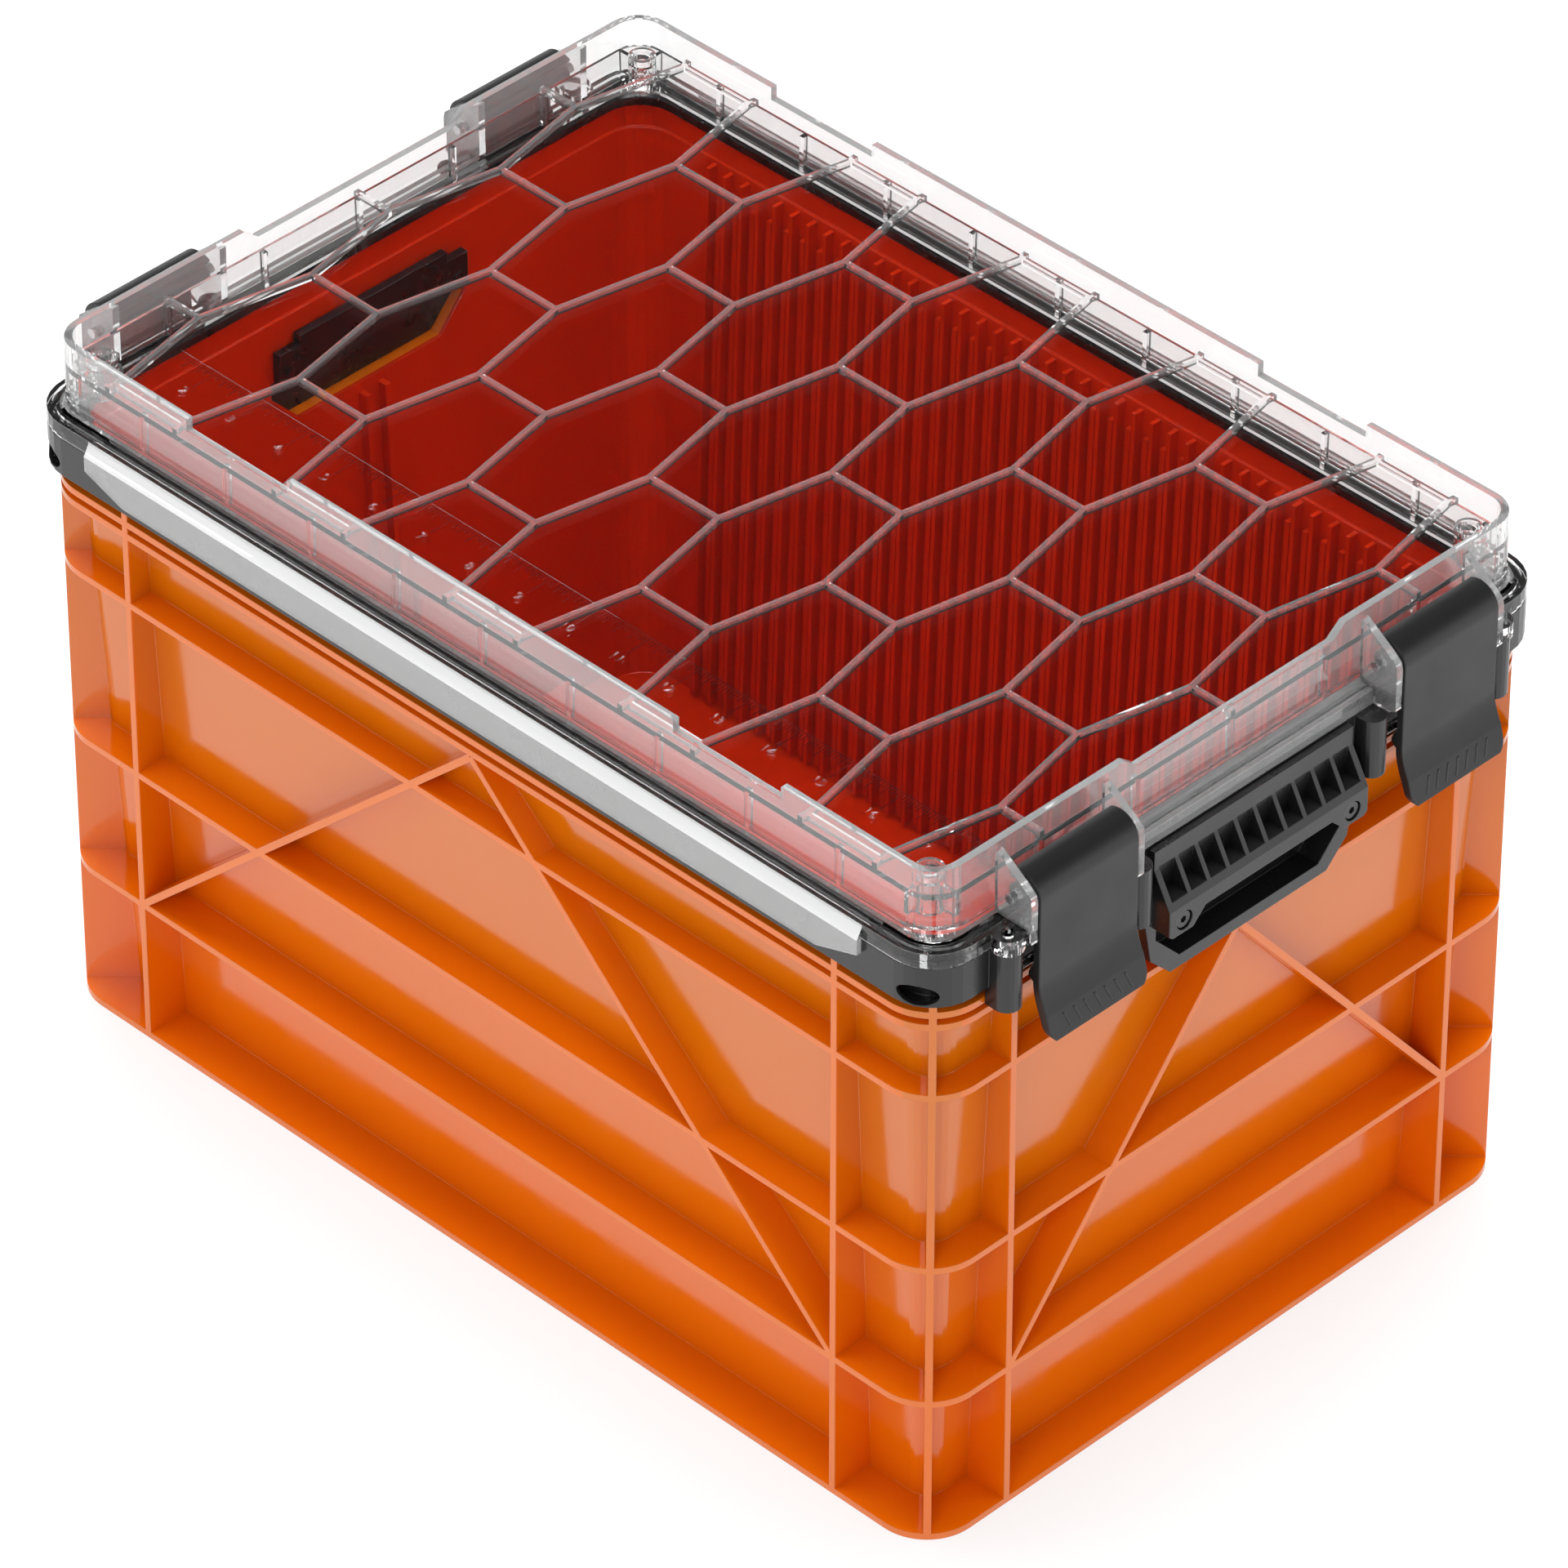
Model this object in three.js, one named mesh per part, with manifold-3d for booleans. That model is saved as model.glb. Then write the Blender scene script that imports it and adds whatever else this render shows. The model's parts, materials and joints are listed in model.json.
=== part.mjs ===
// Fishing tackle box: a ribbed crate with a rim collar, a clear lid and four over-centre latches.
// Millimetres, +Z up. The origin is the middle of the underside. +X is the front end, +Y the left side.
import * as THREE from "three";
import { mergeVertices } from "three/addons/utils/BufferGeometryUtils.js";
import Module from "manifold-3d";

const wasm = await Module();
wasm.setup();

// ---------------------------------------------------------------- driving sizes

const INCH = 25.4;
const GAP = 0.3; // between pieces that touch in the real box

// Crate: the outer faces of its ribs stand upright, the wall behind them leans in towards the floor.
const CRATE = { halfX: 234.1, halfY: 157.9, corner: 22, wallTop: 270.7, ribTop: 253.1 };
const WALL = { insetTop: 7.9, insetBottom: 19, thick: 3, cornerTop: 13, cornerBottom: 8, innerCorner: 17 };
const FLOOR = { under: 3, thick: 3.4 };
const UNDER_RIB = { pitch: 74, half: 2 };
const RIB = 2.9;
const HOOP_LEVELS = [65.3, 128.6, 208.7, 241, 246.6]; // middle heights of the level ribs above the bottom one
const POST_X = 185.2; // upright ribs on the long sides
const POST_Y = 116.6; // upright ribs on the short ends
const BRACE_FOOT = HOOP_LEVELS[0];
const BRACE_APEX_LONG = 238.9;
const BRACE_APEX_SHORT = 206;

// Divider ribs inside the crate
const DIVIDER = { pitch: 9.05, count: 41, low: 9 };
const TALL_DIVIDER = { wide: 1.8, deep: 4.4, high: 259.5 };
const SHORT_DIVIDER = { wide: 2.4, deep: 2.2, high: 249 };
const END_DIVIDER = { wide: 2.6, deep: 4, high: 209, spread: 5.1 };
const LEDGE = { z: 261, deep: 1.1 };

// Rim collar, gasket and lid share one outline
const RIM = { halfX: 236.2, halfY: 160, corner: 19.5 };
const COLLAR = { low: 253.4, high: 270.5, underside: 263, skin: 2, inner: 9.6 };
const CORNER_HOLE = { halfWide: 8, halfHigh: 4.2, turn: 62.5, z: 258.2 };
const GASKET = { low: 271, high: 276.1, outer: 7.6, inner: 13 };
const LID = {
  low: COLLAR.high + GAP, flangeTop: 277.4, wall: 7.3, thick: 3, plateLow: 294, plateHigh: 296.6,
  ribHigh: 299, rimGap: 302.5, top: 308,
};
const SKIRT = { low: 257.9, cornerZ: 264.8, shoulder: 271.5, wide: 201, flat: 180.5, near: 0.4, far: 2.5 };
const RIM_GAPS_LONG = [100, 153.8]; // the raised rim stops between these distances from the middle
const RIM_GAP_SHORT = { half: 50.2, slope: 7 };
const HEX = { pitchX: 45.06, rowY: 48.8, halfEdge: 17.9, wide: 2.4 };
const BOSS = { x: 214, y: 139.6, outer: 5.4, inner: 3.4, low: 282 };

// Latches, two on each end
const LATCH = { y: 94, half: 24.8, skin: 3, face: 247.7, lipLow: 229.2, corner: 7 };
const PIVOT = { x: 238.5, z: 290, pin: 2, hole: 2.25, roll: 9.2 };
const EAR = { inner: 25.4, thick: 3.2 };
const LUG = { x: 240, outerY: 127, innerY: 61.2, radius: 5.4, hole: 2.6, low: 245 };
const BAR = { x: 240, z: 259, radius: 1.8, hole: 2.1 };

// Handles, one on each end
const HANDLE = { back: 234.5, plate: 238.5, cover: 236.6, upper: 239.4, front: 247.5, half: 51.8 };
const FINS = { pitch: 10.05, inner: 9, thick: 1.9 };
const HANDLE_SCREW = { y: 44, z: 239.7, shank: 1.9, hole: 2.2, head: 3.5, recess: 4.1 };
const CUP = { back: 226.5, wall: 2, skin: 1 }; // closes the finger slot towards the inside
const BACKING = { inner: 217.6, outer: 221.2 };

// ---------------------------------------------------------------- helpers

// A closed three.js geometry as a manifold-3d solid.
function solid(geometry) {
  geometry.deleteAttribute("normal");
  geometry.deleteAttribute("uv");
  const merged = mergeVertices(geometry, 1e-4);
  return new wasm.Manifold(
    new wasm.Mesh({
      numProp: 3,
      vertProperties: merged.attributes.position.array,
      triVerts: new Uint32Array(merged.index.array),
    }),
  );
}

function join(solids) {
  return solids.reduce((all, next) => all.add(next));
}

function cut(body, solids) {
  return solids.reduce((rest, next) => rest.subtract(next), body);
}

function box(x0, x1, y0, y1, z0, z1) {
  const geometry = new THREE.BoxGeometry(x1 - x0, y1 - y0, z1 - z0);
  geometry.translate((x0 + x1) / 2, (y0 + y1) / 2, (z0 + z1) / 2);
  return solid(geometry);
}

function outline(points) {
  return new THREE.Shape(points.map(([a, b]) => new THREE.Vector2(a, b)));
}

function roundedRectangle(halfX, halfY, radius) {
  const shape = new THREE.Shape();
  shape.absarc(halfX - radius, halfY - radius, radius, 0, Math.PI / 2);
  shape.absarc(radius - halfX, halfY - radius, radius, Math.PI / 2, Math.PI);
  shape.absarc(radius - halfX, radius - halfY, radius, Math.PI, 1.5 * Math.PI);
  shape.absarc(halfX - radius, radius - halfY, radius, 1.5 * Math.PI, 2 * Math.PI);
  return shape;
}

function prismZ(shape, low, high, curveSegments = 7) {
  const options = { depth: high - low, bevelEnabled: false, curveSegments };
  const geometry = new THREE.ExtrudeGeometry(shape, options);
  geometry.translate(0, 0, low);
  return solid(geometry);
}

// A prism along Y: the shape's own axes are X and Z.
function prismY(shape, from, to, curveSegments = 7) {
  const options = { depth: to - from, bevelEnabled: false, curveSegments };
  const geometry = new THREE.ExtrudeGeometry(shape, options);
  geometry.rotateX(Math.PI / 2);
  geometry.translate(0, to, 0);
  return solid(geometry);
}

// A prism along X: the shape's own axes are Y and Z.
function prismX(shape, from, to, curveSegments = 7) {
  const options = { depth: to - from, bevelEnabled: false, curveSegments };
  const geometry = new THREE.ExtrudeGeometry(shape, options);
  geometry.rotateX(Math.PI / 2);
  geometry.rotateZ(Math.PI / 2);
  geometry.translate(from, 0, 0);
  return solid(geometry);
}

function rod(axis, radius, from, to, a, b, segments = 20) {
  const geometry = new THREE.CylinderGeometry(radius, radius, to - from, segments);
  const middle = (from + to) / 2;
  if (axis === "x") {
    geometry.rotateZ(Math.PI / 2);
    geometry.translate(middle, a, b);
  } else if (axis === "y") {
    geometry.translate(a, middle, b);
  } else {
    geometry.rotateX(Math.PI / 2);
    geometry.translate(a, b, middle);
  }
  return solid(geometry);
}

// The points of a rounded rectangle, each corner in equal steps, starting beside the +X side.
function rectanglePoints(halfX, halfY, radius, steps) {
  const points = [];
  for (let corner = 0; corner < 4; corner += 1) {
    const signX = corner === 0 || corner === 3 ? 1 : -1;
    const signY = corner < 2 ? 1 : -1;
    for (let i = 0; i <= steps; i += 1) {
      const turn = (Math.PI / 2) * (corner + i / steps);
      points.push([
        signX * (halfX - radius) + radius * Math.cos(turn),
        signY * (halfY - radius) + radius * Math.sin(turn),
      ]);
    }
  }
  return points;
}

// A solid between two rounded rectangles at two heights.
function taper(low, high, steps = 7) {
  const rings = [low, high].map(({ halfX, halfY, radius, z }) =>
    rectanglePoints(halfX, halfY, radius, steps).map(([x, y]) => [x, y, z]),
  );
  const count = rings[0].length;
  const index = [];
  for (let i = 0; i < count; i += 1) {
    const next = (i + 1) % count;
    index.push(i, next, count + next, i, count + next, count + i);
    if (i > 0 && i < count - 1) index.push(0, next, i, count, count + i, count + next);
  }
  return solid(indexed(rings.flat(), index));
}

// A closed band round the rim. Each section point is [inset from the rim outline, height, corner radius].
function band(section, steps = 7) {
  const rings = section.map(([inset, z, radius]) =>
    rectanglePoints(RIM.halfX - inset, RIM.halfY - inset, radius, steps).map(([x, y]) => [x, y, z]),
  );
  const count = rings[0].length;
  const index = [];
  for (let ring = 0; ring < rings.length; ring += 1) {
    const a = ring * count;
    const b = ((ring + 1) % rings.length) * count;
    for (let i = 0; i < count; i += 1) {
      const next = (i + 1) % count;
      index.push(a + i, a + next, b + next, a + i, b + next, b + i);
    }
  }
  return solid(indexed(rings.flat(), index));
}

function indexed(points, index) {
  const geometry = new THREE.BufferGeometry();
  geometry.setAttribute("position", new THREE.Float32BufferAttribute(points.flat(), 3));
  geometry.setIndex(index);
  return geometry;
}

// Both ends or both sides of a mirrored piece.
const mirrorX = (body) => body.mirror([1, 0, 0]);
const mirrorY = (body) => body.mirror([0, 1, 0]);
const bothEnds = (body) => body.add(mirrorX(body));
const bothSides = (body) => body.add(mirrorY(body));

// A straight bar of the given width, standing on the line from one point to another in a plane.
function strip([a0, b0], [a1, b1], width) {
  const length = Math.hypot(a1 - a0, b1 - b0);
  const sideA = (-(b1 - b0) / length) * (width / 2);
  const sideB = ((a1 - a0) / length) * (width / 2);
  return outline([
    [a0 - sideA, b0 - sideB],
    [a1 - sideA, b1 - sideB],
    [a1 + sideA, b1 + sideB],
    [a0 + sideA, b0 + sideB],
  ]);
}

// ---------------------------------------------------------------- crate

function wallInset(z) {
  const up = z / CRATE.wallTop;
  return WALL.insetBottom + (WALL.insetTop - WALL.insetBottom) * up;
}

function wallSection(z, extra, radius) {
  const inset = wallInset(z) + extra;
  return { halfX: CRATE.halfX - inset, halfY: CRATE.halfY - inset, radius, z };
}

// The finger opening seen from the end of the box, drawn smaller by the inset all round.
// Its upper corners stay solid for the screws.
function fingerSlot(inset) {
  const half = [
    [36.5 - 0.43 * inset, 214.5 + inset], [49.2 - inset, 228 + 0.4 * inset], [49.2 - inset, 233.5 - inset],
    [38 - 0.46 * inset, 233.5 - inset], [32 - 0.46 * inset, 240.5 - inset],
  ];
  const mirrored = half.map(([y, z]) => [-y, z]).reverse();
  return outline([...half, ...mirrored]);
}

const SLOT_SURROUND = [
  [-41, 209], [41, 209], [51.5, 219.5], [54.8, 238],
  [54.8, CRATE.ribTop], [-54.8, CRATE.ribTop], [-54.8, 238], [-51.5, 219.5],
];

function crateRibs() {
  const { halfX, halfY, ribTop } = CRATE;
  const inner = WALL.insetBottom + 1;
  const hoops = HOOP_LEVELS.map((z) => box(-halfX, halfX, -halfY, halfY, z - RIB / 2, z + RIB / 2));
  const bottom = box(-halfX, halfX, -halfY, halfY, 0, RIB);
  const posts = [
    bothEnds(bothSides(box(POST_X - RIB / 2, POST_X + RIB / 2, halfY - inner, halfY, 0, ribTop))),
    bothEnds(bothSides(box(halfX - inner, halfX, POST_Y - RIB / 2, POST_Y + RIB / 2, 0, ribTop))),
  ];
  const cornerPost = prismZ(
    strip([halfX - 36, halfY - 36], [halfX, halfY], RIB), 0, ribTop,
  );
  posts.push(bothEnds(bothSides(cornerPost)));

  const longBrace = prismY(
    strip([POST_X, BRACE_FOOT], [0, BRACE_APEX_LONG], RIB), halfY - inner, halfY,
  );
  const shortBrace = prismX(
    strip([POST_Y, BRACE_FOOT], [0, BRACE_APEX_SHORT], RIB), halfX - inner, halfX,
  );
  const braces = [bothEnds(bothSides(longBrace)), bothEnds(bothSides(shortBrace))];
  const surround = bothEnds(
    prismX(outline(SLOT_SURROUND), halfX - inner, halfX - 0.2),
  );
  return join([...hoops, bottom, ...posts, ...braces, surround]);
}

// The outline of a rib that stands on the inside of a leaning wall.
function dividerOutline(wallFace, deep, high) {
  const low = DIVIDER.low;
  return outline([
    [wallFace - wallInset(low) - deep, low],
    [wallFace - wallInset(low) + 0.8, low],
    [wallFace - wallInset(high) + 0.8, high],
    [wallFace - wallInset(high) - deep, high],
  ]);
}

// Tall and short ribs by turns along the long walls, and a pair in the middle of each end wall.
function crateDividers() {
  const sideFace = CRATE.halfY - WALL.thick;
  const ribs = [];
  for (let i = 0; i < 2 * DIVIDER.count - 1; i += 1) {
    const { wide, deep, high } = i % 2 === 0 ? TALL_DIVIDER : SHORT_DIVIDER;
    const x = ((i - (DIVIDER.count - 1)) * DIVIDER.pitch) / 2;
    ribs.push(prismX(dividerOutline(sideFace, deep, high), x - wide / 2, x + wide / 2));
  }
  const endFace = CRATE.halfX - WALL.thick;
  const { wide, deep, high, spread } = END_DIVIDER;
  const pair = [-spread, spread].map((y) =>
    prismY(dividerOutline(endFace, deep, high), y - wide / 2, y + wide / 2));
  return bothSides(join(ribs)).add(bothEnds(join(pair)));
}

function crateUnderside() {
  const reachX = CRATE.halfX - WALL.insetBottom - 1;
  const reachY = CRATE.halfY - WALL.insetBottom - 1;
  const high = FLOOR.under + 0.5;
  const { pitch, half } = UNDER_RIB;
  const across = [-2, -1, 0, 1, 2].map((i) => i * pitch)
    .map((x) => box(x - half, x + half, -reachY, reachY, 0, high));
  const along = [-1, 0, 1].map((i) => i * pitch)
    .map((y) => box(-reachX, reachX, y - half, y + half, 0, high));
  return join([...across, ...along, rod("z", 22, 0, high, 0, 0, 24)]);
}

function crateBody() {
  const wallAndFloor = taper(
    wallSection(0, 0, WALL.cornerBottom),
    wallSection(CRATE.wallTop, 0, WALL.cornerTop),
  );
  const block = prismZ(roundedRectangle(CRATE.halfX, CRATE.halfY, CRATE.corner), 0, CRATE.wallTop, 8);
  const floorTop = FLOOR.under + FLOOR.thick;
  const inside = taper(
    wallSection(floorTop, WALL.thick, WALL.innerCorner),
    wallSection(CRATE.wallTop + 1, WALL.thick, WALL.innerCorner),
  );
  const ledge = taper(
    wallSection(LEDGE.z, WALL.thick - LEDGE.deep, WALL.innerCorner),
    wallSection(CRATE.wallTop + 1, WALL.thick - LEDGE.deep, WALL.innerCorner),
  );
  const under = box(
    -CRATE.halfX + WALL.insetBottom + 4, CRATE.halfX - WALL.insetBottom - 4,
    -CRATE.halfY + WALL.insetBottom + 4, CRATE.halfY - WALL.insetBottom - 4,
    -1, FLOOR.under,
  );
  let body = wallAndFloor.add(crateRibs().intersect(block));
  body = cut(body, [inside, ledge, under]);
  body = body.add(crateDividers()).add(crateUnderside());
  const slot = bothEnds(prismX(fingerSlot(-CUP.skin - GAP), CRATE.halfX - 30, CRATE.halfX + 1));
  const screwHoles = [];
  for (const side of [-1, 1]) {
    const { hole, y, z } = HANDLE_SCREW;
    screwHoles.push(bothEnds(rod("x", hole, CRATE.halfX - 30, CRATE.halfX + 1, side * y, z, 16)));
  }
  return cut(body, [slot, ...screwHoles]);
}

// ---------------------------------------------------------------- collar and gasket

function rimCollar() {
  const { low, high, underside, skin, inner } = COLLAR;
  const innerCorner = WALL.cornerTop + 0.4;
  const ring = band([
    [0, low, RIM.corner], [0, high, RIM.corner], [inner, high, innerCorner], [inner, underside, innerCorner],
    [skin, underside, RIM.corner - skin], [skin, low, RIM.corner - skin],
  ]);
  const lugs = [];
  const holes = [];
  for (const y of [LUG.outerY, LUG.innerY]) {
    lugs.push(rod("z", LUG.radius, LUG.low, high, LUG.x, y, 20));
    lugs.push(box(RIM.halfX - 1.8, LUG.x, y - LUG.radius, y + LUG.radius, LUG.low, high));
  }
  holes.push(rod("z", LUG.hole, LUG.low - 1, high + 1, LUG.x, LUG.outerY, 16));
  holes.push(rod("y", BAR.hole, LUG.innerY - 3, LUG.outerY - 3.4, BAR.x, BAR.z, 16));
  const barPocket = box(
    RIM.halfX - 1.2, RIM.halfX + 9, LUG.innerY + LUG.radius, LUG.outerY - LUG.radius, low - 1, 264.5,
  );
  const { halfWide, halfHigh, turn, z } = CORNER_HOLE;
  const oval = new THREE.Shape().absellipse(0, 0, halfWide, halfHigh, 0, 2 * Math.PI);
  const corner = prismX(oval, RIM.corner / 2, RIM.corner + 6, 11)
    .rotate([0, 0, turn])
    .translate([RIM.halfX - RIM.corner, RIM.halfY - RIM.corner, z]);
  let body = ring.add(bothEnds(bothSides(join(lugs))));
  body = cut(body, [bothEnds(bothSides(barPocket)), ...holes.map((hole) => bothEnds(bothSides(hole)))]);
  return body.subtract(bothEnds(bothSides(corner)));
}

function rimGasket() {
  const { low, high, outer, inner } = GASKET;
  const round = 1.5;
  const outerCorner = RIM.corner - outer;
  return band([
    [outer, low, outerCorner], [outer, high - round, outerCorner], [outer + round, high, outerCorner],
    [inner - round, high, WALL.innerCorner], [inner, high - round, WALL.innerCorner],
    [inner, low, WALL.innerCorner],
  ]);
}

// ---------------------------------------------------------------- lid

function lidShell() {
  const { low, flangeTop, wall, thick, plateLow, plateHigh, top } = LID;
  const outer = RIM.corner;
  const wallCorner = 13.5;
  const innerCorner = 10.5;
  const overGasket = GASKET.high + GAP;
  const channel = GASKET.outer - 0.4;
  const lip = wall + thick + 2.6; // presses on the gasket
  const lipCorner = WALL.innerCorner - 2;
  const shell = band([
    [0, low, outer], [0, flangeTop, outer], [2, flangeTop, outer - 2], [2, flangeTop - 1.2, outer - 2],
    [3.4, flangeTop - 1.2, outer - 3.4], [3.4, flangeTop, outer - 3.4], [5, flangeTop, outer - 5],
    [wall - 0.4, flangeTop + 1.6, wallCorner], [wall, top, wallCorner], [wall + thick, top, innerCorner],
    [wall + thick, plateHigh - 1, innerCorner], [wall + thick, plateLow + 1, innerCorner],
    [wall + thick + 0.4, overGasket + 4, innerCorner], [lip, overGasket + 1.4, lipCorner],
    [lip, overGasket, lipCorner], [channel, overGasket, outer - channel], [channel, low, outer - channel],
  ]);
  const inset = wall + 1;
  const plate = prismZ(
    roundedRectangle(RIM.halfX - inset, RIM.halfY - inset, wallCorner - 1), plateLow, plateHigh,
  );
  return shell.add(plate);
}

function rimGapCuts() {
  const [from, to] = RIM_GAPS_LONG;
  const long = box(from, to, RIM.halfY - 20, RIM.halfY + 1, LID.rimGap, LID.top + 1);
  const { half, slope } = RIM_GAP_SHORT;
  const short = prismX(
    outline([
      [-half - slope, LID.top + 0.1], [-half, LID.rimGap], [half, LID.rimGap], [half + slope, LID.top + 0.1],
    ]),
    RIM.halfX - 20, RIM.halfX + 1,
  );
  return [bothEnds(bothSides(long)), bothEnds(short)];
}

function honeycomb() {
  const low = LID.plateHigh - 0.5;
  const reach = { x: RIM.halfX - LID.wall - 1, y: RIM.halfY - LID.wall - 1 };
  const bars = [];
  for (let row = -4; row <= 4; row += 1) {
    for (let column = -6; column <= 6; column += 1) {
      if ((row + column) % 2 === 0) continue;
      const x = column * HEX.pitchX;
      const y = row * HEX.rowY;
      const end = x + HEX.halfEdge;
      const next = x + HEX.pitchX - HEX.halfEdge;
      const rise = HEX.rowY + 0.5;
      const bar = (from, to) => prismZ(strip(from, to, HEX.wide), low, LID.ribHigh);
      bars.push(bar([x - HEX.halfEdge, y], [end, y]));
      bars.push(bar([end - 0.3, y - 0.5], [next + 0.3, y + rise]));
      bars.push(bar([end - 0.3, y + 0.5], [next + 0.3, y - rise]));
    }
  }
  return join(bars).intersect(box(-reach.x, reach.x, -reach.y, reach.y, low, LID.ribHigh));
}

function lidInsideRibs() {
  const bars = [];
  const { x, y, outer, inner, low } = BOSS;
  const wallY = RIM.halfY - LID.wall - LID.thick;
  const wallX = RIM.halfX - LID.wall - LID.thick;
  for (let i = 0; i <= 4; i += 1) {
    const at = i * HEX.pitchX;
    bars.push(box(at - 1.1, at + 1.1, wallY - 2.4, wallY + 1, 277, LID.plateLow + 1));
  }
  for (let i = 0; i <= 2; i += 1) {
    const at = i * HEX.rowY;
    bars.push(box(wallX - 2.4, wallX + 1, at - 1.1, at + 1.1, 277, LID.plateLow + 1));
  }
  bars.push(rod("z", outer, low, LID.ribHigh, x, y, 24));
  bars.push(box(x - 0.9, x + 0.9, y + 1, wallY + 1, low + 3, LID.plateLow + 1));
  bars.push(box(x + 1, wallX + 1, y - 0.9, y + 0.9, low + 3, LID.plateLow + 1));
  const ribs = bothEnds(bothSides(join(bars)));
  const hole = bothEnds(bothSides(rod("z", inner, low - 1, LID.ribHigh + 1, x, y, 20)));
  return { ribs, hole };
}

function lidSkirts() {
  const { low, cornerZ, shoulder, wide, flat, near, far } = SKIRT;
  const face = RIM.halfY;
  const profile = prismX(
    outline([
      [face + near, low], [face + far, low], [face + far, shoulder], [face - 0.5, LID.flangeTop - 0.5],
      [face - 0.5, LID.low + 0.2], [face + near, LID.low + 0.2],
    ]),
    -wide, wide,
  );
  const shape = prismY(
    outline([
      [-wide, LID.flangeTop + 1], [-wide, cornerZ], [-flat, low], [flat, low], [wide, cornerZ],
      [wide, LID.flangeTop + 1],
    ]),
    face - 2, face + 5,
  );
  return bothSides(profile.intersect(shape));
}

// The clear ears that carry the latch pins, and the pads that stand on the collar's outer lugs.
function lidEars() {
  const wall = RIM.halfX - LID.wall - 1;
  const flange = RIM.halfX - 5;
  const ear = outline([
    [wall, 305], [229.8, 305], [242.6, 296.2], [246.3, 293], [247, 290], [247, 272.6],
    [244, LID.low], [flange, LID.low], [flange, LID.flangeTop], [wall, LID.flangeTop],
  ]);
  const parts = [];
  for (const side of [-1, 1]) {
    const from = LATCH.y + side * EAR.inner;
    parts.push(prismY(ear, Math.min(from, from + side * EAR.thick), Math.max(from, from + side * EAR.thick)));
  }
  parts.push(rod("z", LUG.radius + 0.8, LID.low, LID.flangeTop, LUG.x, LUG.outerY, 20));
  const holes = [
    rod("y", PIVOT.hole, LATCH.y - 32, LATCH.y + 32, PIVOT.x, PIVOT.z, 18),
    rod("z", LUG.hole, LID.low - 1, LID.flangeTop + 1, LUG.x, LUG.outerY, 16),
  ];
  return { ears: bothEnds(bothSides(join(parts))), holes: bothEnds(bothSides(join(holes))) };
}

function lid() {
  const inside = lidInsideRibs();
  const { ears, holes } = lidEars();
  let body = cut(lidShell(), rimGapCuts());
  body = join([body, honeycomb(), inside.ribs, lidSkirts(), ears]);
  return cut(body, [inside.hole, holes]);
}

// ---------------------------------------------------------------- latches

// The outline of a latch seen from the end of the box, with its two lower corners rounded.
function latchFront() {
  const { half, lipLow, corner, y } = LATCH;
  const low = lipLow + corner - 0.6;
  const shape = new THREE.Shape();
  shape.moveTo(y - half, 320);
  shape.lineTo(y - half, low);
  shape.absarc(y - half + corner, low, corner, Math.PI, 1.5 * Math.PI, false);
  shape.absarc(y + half - corner, low, corner, 1.5 * Math.PI, 2 * Math.PI, false);
  shape.lineTo(y + half, 320);
  return shape;
}

// One latch on the front left: a skin that rolls over the pin, hangs down and flares out to a finger lip.
function latch() {
  const { face, skin, half, lipLow, y } = LATCH;
  const { x, z, roll, hole } = PIVOT;
  const shape = new THREE.Shape();
  shape.moveTo(face, z);
  shape.absarc(x, z, roll, 0, (120 / 180) * Math.PI, false);
  shape.absarc(x, z, roll - skin, (120 / 180) * Math.PI, 0, true);
  shape.lineTo(face - skin, 262);
  shape.lineTo(242.4, 256.4); // the hook's ramp over the catch bar
  shape.lineTo(242.4, 254.6);
  shape.lineTo(face - skin, 253);
  shape.quadraticCurveTo(face - skin, 247, 248.4, 238.5);
  shape.lineTo(251.4, lipLow + 0.6);
  shape.quadraticCurveTo(253, lipLow - 0.8, 254.3, lipLow + 1);
  shape.lineTo(251.6, 240.5);
  shape.quadraticCurveTo(face, 249, face, 253.5);
  const skinBody = prismY(shape, y - half, y + half, 9);
  const hub = rod("y", hole + 2.2, y - half, y + half, x, z, 22);
  const webs = [-1, 0, 1].map((i) => {
    const at = y + i * (half - 2.5);
    const web = outline([
      [x, z - 4], [face - 1, z - 6], [face - 1, z], [x + 5.5, z + 6], [x, z + roll - 1], [x - 2, z],
    ]);
    return prismY(web, at - 1.5, at + 1.5);
  });
  const front = prismX(latchFront(), 220, 270, 6);
  const bore = rod("y", hole, y - 40, y + 40, x, z, 18);
  return join([skinBody, hub, ...webs]).intersect(front).subtract(bore);
}

function latchPin() {
  const reach = EAR.inner + EAR.thick + 2.6;
  return rod("y", PIVOT.pin, LATCH.y - reach, LATCH.y + reach, PIVOT.x, PIVOT.z, 18);
}

function catchBar() {
  return rod("y", BAR.radius, LUG.innerY - 2.6, LUG.outerY - 3.8, BAR.x, BAR.z, 16);
}

// ---------------------------------------------------------------- handles

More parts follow.
